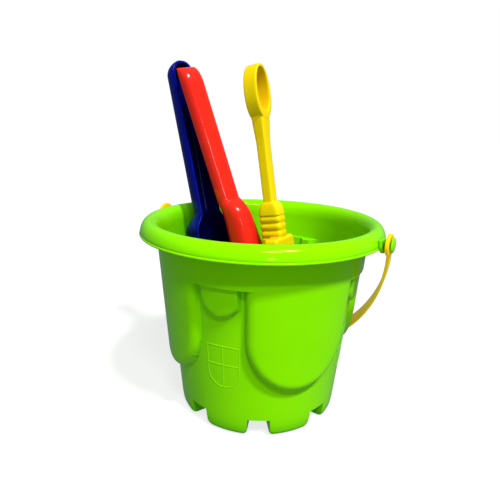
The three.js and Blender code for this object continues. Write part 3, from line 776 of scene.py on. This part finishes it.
def bump(nodes, links, height, strength, distance):
    node = nodes.new("ShaderNodeBump")
    node.inputs["Strength"].default_value = strength
    node.inputs["Distance"].default_value = distance
    links.new(height, node.inputs["Height"])
    return node


def colour_mix(nodes, links, factor, first, second=None):
    """From the first colour at 0 to the second at 1. The second may be left for a link to B."""
    node = nodes.new("ShaderNodeMix")
    node.data_type = "RGBA"
    node.inputs["A"].default_value = (*first, 1)
    if second:
        node.inputs["B"].default_value = (*second, 1)
    links.new(factor, node.inputs["Factor"])
    return node


def plastic(name, colour, dark, painted_crevice_shade, tint, roughness=0.2, specular=0.4, reach=0.03, painted_glow=0.0):
    """Glossy moulded plastic: a little uneven in colour and gloss, with a faint skin texture and fine scuffs.

    The crevice colour is painted shade: it darkens the colour in crevices up to reach metres deep, and the
    gloss there is dimmed too. The glow strength is a painted glow, an emission that stands in for the light
    that comes through a thin piece."""
    material = bpy.data.materials.new(name)
    material.use_nodes = True
    nodes, links = material.node_tree.nodes, material.node_tree.links
    shader = nodes["Principled BSDF"]
    shader.inputs["Specular Tint"].default_value = (*tint, 1)
    # Painted glow: the plastic gives off light of its own colour, standing in for light coming through thin
    # plastic.
    shader.inputs["Emission Color"].default_value = (*colour, 1)
    shader.inputs["Emission Strength"].default_value = painted_glow
    place = nodes.new("ShaderNodeTexCoord").outputs["Object"]

    blotches = ramp(nodes, links, noise(nodes, links, place, 22.0), 0.55, 1.0)
    mix = colour_mix(nodes, links, blotches, dark, colour)
    # Painted shade: where ambient occlusion finds nearby surfaces, the colour is pulled towards a darker
    # crevice colour.
    shade = nodes.new("ShaderNodeAmbientOcclusion")
    shade.inputs["Distance"].default_value = reach
    shade.samples = 8
    painted_shade_mask = ramp(nodes, links, shade.outputs["AO"], 0.0, 1.0, 0.15, 0.8)
    painted_shade_colour = [c * crevice for c, crevice in zip(dark, painted_crevice_shade)]
    painted_shade_mix = colour_mix(nodes, links, painted_shade_mask, painted_shade_colour)
    links.new(mix.outputs["Result"], painted_shade_mix.inputs["B"])
    links.new(painted_shade_mix.outputs["Result"], shader.inputs["Base Color"])
    # Painted shade on the gloss as well: reflections are dimmed in the same crevices.
    gloss = ramp(nodes, links, shade.outputs["AO"], 0.25 * specular, specular, 0.15, 0.7)
    links.new(gloss, shader.inputs["Specular IOR Level"])

    stretch = nodes.new("ShaderNodeMapping")
    stretch.inputs["Rotation"].default_value = (0.4, 0.7, 0.2)
    stretch.inputs["Scale"].default_value = (60, 900, 900)
    links.new(place, stretch.inputs["Vector"])
    scratches = noise(nodes, links, stretch.outputs["Vector"], 1.0, 2.0)
    add = nodes.new("ShaderNodeMath")
    add.operation = "ADD"
    unevenness = ramp(nodes, links, noise(nodes, links, place, 45.0), roughness - 0.03, roughness + 0.05)
    links.new(unevenness, add.inputs[0])
    links.new(ramp(nodes, links, scratches, 0.0, 0.05, 0.62, 0.78), add.inputs[1])
    links.new(add.outputs["Value"], shader.inputs["Roughness"])

    fine = bump(nodes, links, noise(nodes, links, place, 420.0, 2.0), strength=0.06, distance=0.0004)
    broad = bump(nodes, links, noise(nodes, links, place, 38.0, 1.0), strength=0.10, distance=0.0015)
    links.new(fine.outputs["Normal"], broad.inputs["Normal"])
    links.new(broad.outputs["Normal"], shader.inputs["Normal"])
    return material


# Each material's crevice colour below is painted shade, mixed in where nearby surfaces hide the light.
green = plastic(
    "green_plastic_look",
    colour=(0.25, 0.84, 0.0),
    dark=(0.21, 0.76, 0.0),
    painted_crevice_shade=(0.3, 0.6, 0.5),
    tint=(0.8, 1.0, 0.1),
    roughness=0.14,
    specular=0.3,
)
yellow = plastic(
    "yellow_plastic_look",
    colour=(0.90, 0.68, 0.002),
    dark=(0.87, 0.60, 0.001),
    painted_crevice_shade=(0.8, 0.4, 0.3),
    tint=(1.0, 0.95, 0.3),
    roughness=0.2,
    specular=0.3,
)
red = plastic(
    "red_plastic_look",
    colour=(0.90, 0.022, 0.012),
    dark=(0.82, 0.014, 0.008),
    painted_crevice_shade=(0.6, 0.5, 0.5),
    tint=(1.0, 0.7, 0.65),
    roughness=0.13,
    specular=0.4,
)
blue = plastic(
    "blue_plastic_look",
    colour=(0.0005, 0.003, 0.25),
    dark=(0.0005, 0.002, 0.20),
    # The blue's very dark crevice colour and longer reach paint the deep shade inside the scoop's bowl.
    painted_crevice_shade=(0.1, 0.1, 0.03),
    tint=(0.4, 0.5, 1.0),
    roughness=0.2,
    specular=0.15,
    reach=0.07,
)
# The strap's yellow is a more orange, darker copy of the rake's yellow: painted shade for the orange tone the
# strap shows in dimmer light.
shaded_strap_yellow = plastic(
    "strap_plastic_look",
    colour=(0.90, 0.58, 0.003),
    dark=(0.86, 0.50, 0.002),
    painted_crevice_shade=(0.8, 0.6, 0.3),
    tint=(1.0, 0.9, 0.3),
    roughness=0.2,
    specular=0.3,
    # Painted glow: brightens the strap's shaded faces.
    painted_glow=0.3,
)


# ---- pieces ----
shell = bucket_shell()
for k in range(4):
    shell.add(door_ribs(DOOR_ANGLE + 90 * k))
for side in (1, -1):
    made, place = ear(side)
    shell.add(made, place)
show("bucket_moulding", shell.mesh("bucket_moulding", 38), green, "bucket", "bucket_shell")

hang = Matrix.Translation((0, 0, PIVOT_HEIGHT)) @ Matrix.Rotation(math.radians(-HANDLE_HANG), 4, "X")
strap = Surface()
strap.add(handle(), hang)
show("strap_handle", strap.mesh("strap_handle"), shaded_strap_yellow, "handle", "carrying_handle")

for name, tool, material, slot in (
    ("scoop", SCOOP, blue, "blue_plastic"),
    ("shovel", SHOVEL, red, "red_plastic"),
):
    body = Surface()
    body.add(channel(tool), tool_matrix(tool))
    show(name + "_moulding", body.mesh(name + "_moulding", 50), material, name, name)

rake = Surface()
for part in (rake_shaft(), rake_ring(), rake_head()):
    rake.add(part)
rake_mesh = fused("rake_moulding", rake, voxel=0.5, smoothing=4, matrix=tool_matrix(RAKE))
show("rake_moulding", rake_mesh, yellow, "rake", "rake")

# ---- floor, light and camera ----
FLOOR_REACH = 12.0  # metres from the middle to each side
FLOOR_DROP = 0.0002  # metres below the feet
FLOOR_GREY, FLOOR_GLOW = 0.28, 0.76
SKY, BACKGROUND = 0.24, 1.0


def pale_floor():
    """A plain floor that takes a soft shadow and throws no light on the object."""
    reach = FLOOR_REACH
    mesh = bpy.data.meshes.new("floor")
    corners = [(-reach, -reach, 0), (reach, -reach, 0), (reach, reach, 0), (-reach, reach, 0)]
    mesh.from_pydata(corners, [], [(0, 1, 2, 3)])
    plane = bpy.data.objects.new("floor", mesh)
    plane.location.z = -FLOOR_DROP
    bpy.context.scene.collection.objects.link(plane)
    paint = bpy.data.materials.new("floor_paint")
    paint.use_nodes = True
    inputs = paint.node_tree.nodes["Principled BSDF"].inputs
    inputs["Base Color"].default_value = (FLOOR_GREY, FLOOR_GREY, FLOOR_GREY, 1)
    inputs["Roughness"].default_value = 0.9
    inputs["Specular IOR Level"].default_value = 0.0
    inputs["Emission Color"].default_value = (1, 1, 1, 1)
    inputs["Emission Strength"].default_value = FLOOR_GLOW
    mesh.materials.append(paint)
    plane.visible_diffuse = False
    plane.visible_glossy = False
    return plane


pale_floor()


def studio_world():
    """A dim grey room for light and reflections, behind a pale backdrop."""
    world = bpy.data.worlds.new("studio")
    world.use_nodes = True
    nodes, links = world.node_tree.nodes, world.node_tree.links
    room = nodes["Background"]
    room.inputs["Color"].default_value = (0.8, 1, 0.85, 1)
    room.inputs["Strength"].default_value = SKY
    backdrop = nodes.new("ShaderNodeBackground")
    backdrop.inputs["Color"].default_value = (1, 1, 1, 1)
    backdrop.inputs["Strength"].default_value = BACKGROUND
    pick = nodes.new("ShaderNodeMixShader")
    path = nodes.new("ShaderNodeLightPath")
    links.new(path.outputs["Is Camera Ray"], pick.inputs["Fac"])
    links.new(room.outputs["Background"], pick.inputs[1])
    links.new(backdrop.outputs["Background"], pick.inputs[2])
    links.new(pick.outputs["Shader"], nodes["World Output"].inputs["Surface"])
    return world


bpy.context.scene.world = studio_world()
bpy.context.scene.view_settings.view_transform = "Standard"

CAMERA_PLACE = (172.0, -304.0, 221.9)
CAMERA_PITCH, CAMERA_PAN, CAMERA_ROLL = 0.2668, -0.0266, 0.0249
AWAY, RIGHT, UP = Vector((-0.4924, 0.8704, 0)), Vector((0.8704, 0.4924, 0)), Vector((0, 0, 1))


def area_light(name, direction, distance, width, tall, power):
    """A white panel that faces the middle of the object from a direction."""
    data = bpy.data.lights.new(name, "AREA")
    data.energy = power
    data.shape = "RECTANGLE"
    data.size = width * MM
    data.size_y = tall * MM
    lamp = bpy.data.objects.new(name, data)
    lamp.location = (MIDDLE + direction * distance) * MM
    lamp.rotation_euler = (-direction).to_track_quat("-Z", "Y").to_euler()
    bpy.context.scene.collection.objects.link(lamp)


MIDDLE = Vector((0, 0, 118))


def from_camera_side(azimuth, elevation):
    """A direction from the object, azimuth in degrees to the right of the camera."""
    turn, rise = math.radians(azimuth), math.radians(elevation)
    flat = -AWAY * math.cos(turn) + RIGHT * math.sin(turn)
    return flat * math.cos(rise) + UP * math.sin(rise)


def sun(name, direction, strength, spread, colour):
    """Far light from a direction, spread over an angle in degrees."""
    data = bpy.data.lights.new(name, "SUN")
    data.energy = strength
    data.color = colour
    data.angle = math.radians(spread)
    lamp = bpy.data.objects.new(name, data)
    lamp.rotation_euler = (-direction).to_track_quat("-Z", "Y").to_euler()
    bpy.context.scene.collection.objects.link(lamp)


sun("key", from_camera_side(38, 57), strength=3.15, spread=6, colour=(1.0, 0.95, 0.9))
area_light("softbox", from_camera_side(11, 50), distance=1500, width=300, tall=80, power=9.0)
area_light("strip", from_camera_side(8, 7), distance=1400, width=130, tall=420, power=3.0)

forward = (
    math.sin(CAMERA_PAN) * math.cos(CAMERA_PITCH) * RIGHT
    + math.cos(CAMERA_PAN) * math.cos(CAMERA_PITCH) * AWAY
    - math.sin(CAMERA_PITCH) * UP
)
level = forward.cross(UP).normalized()
raised = level.cross(forward)
camera_x = math.cos(CAMERA_ROLL) * level + math.sin(CAMERA_ROLL) * raised
camera_y = math.cos(CAMERA_ROLL) * raised - math.sin(CAMERA_ROLL) * level
camera_data = bpy.data.cameras.new("camera")
camera_data.lens = 32.4
camera_data.sensor_width = 36
camera_data.clip_start = 0.01
camera = bpy.data.objects.new("camera", camera_data)
camera.matrix_world = Matrix.Translation(Vector(CAMERA_PLACE) * MM) @ Matrix(
    (camera_x, camera_y, -forward)
).transposed().to_4x4()
bpy.context.scene.collection.objects.link(camera)
bpy.context.scene.camera = camera
